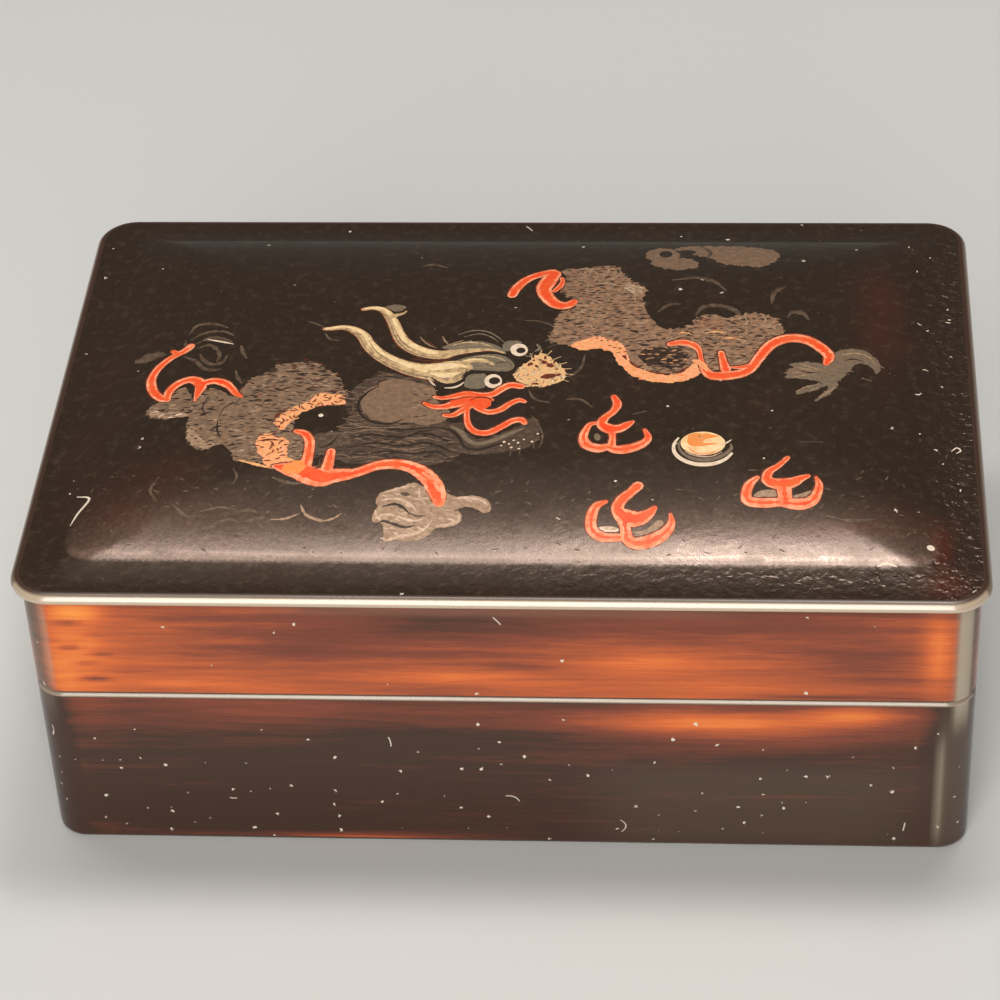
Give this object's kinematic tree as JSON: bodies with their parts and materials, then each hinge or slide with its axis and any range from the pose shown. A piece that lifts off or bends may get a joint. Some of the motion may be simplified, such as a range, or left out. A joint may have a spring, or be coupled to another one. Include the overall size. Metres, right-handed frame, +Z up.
{
  "type": "lacquer trinket box",
  "caption": "Rectangular lacquered wood box with a lift-off lid: straight walls, a thin lip, a dished border and a raised cushion top with a painted dragon.",
  "frame": {"origin": "centre of the underside, on the surface that the box stands on", "axes": "+X along the long side, +Y from the front to the back, +Z up out of the lid"},
  "size_m": [0.15, 0.101, 0.0582],
  "materials": {
    "base_lacquer": "amber-brown gloss lacquer",
    "lid_lacquer": "black-brown gloss lacquer with a painted top"
  },
  "bodies": {
    "root": {"box_base": "base_lacquer", "box_lid": "lid_lacquer"}
  },
  "joints": []
}
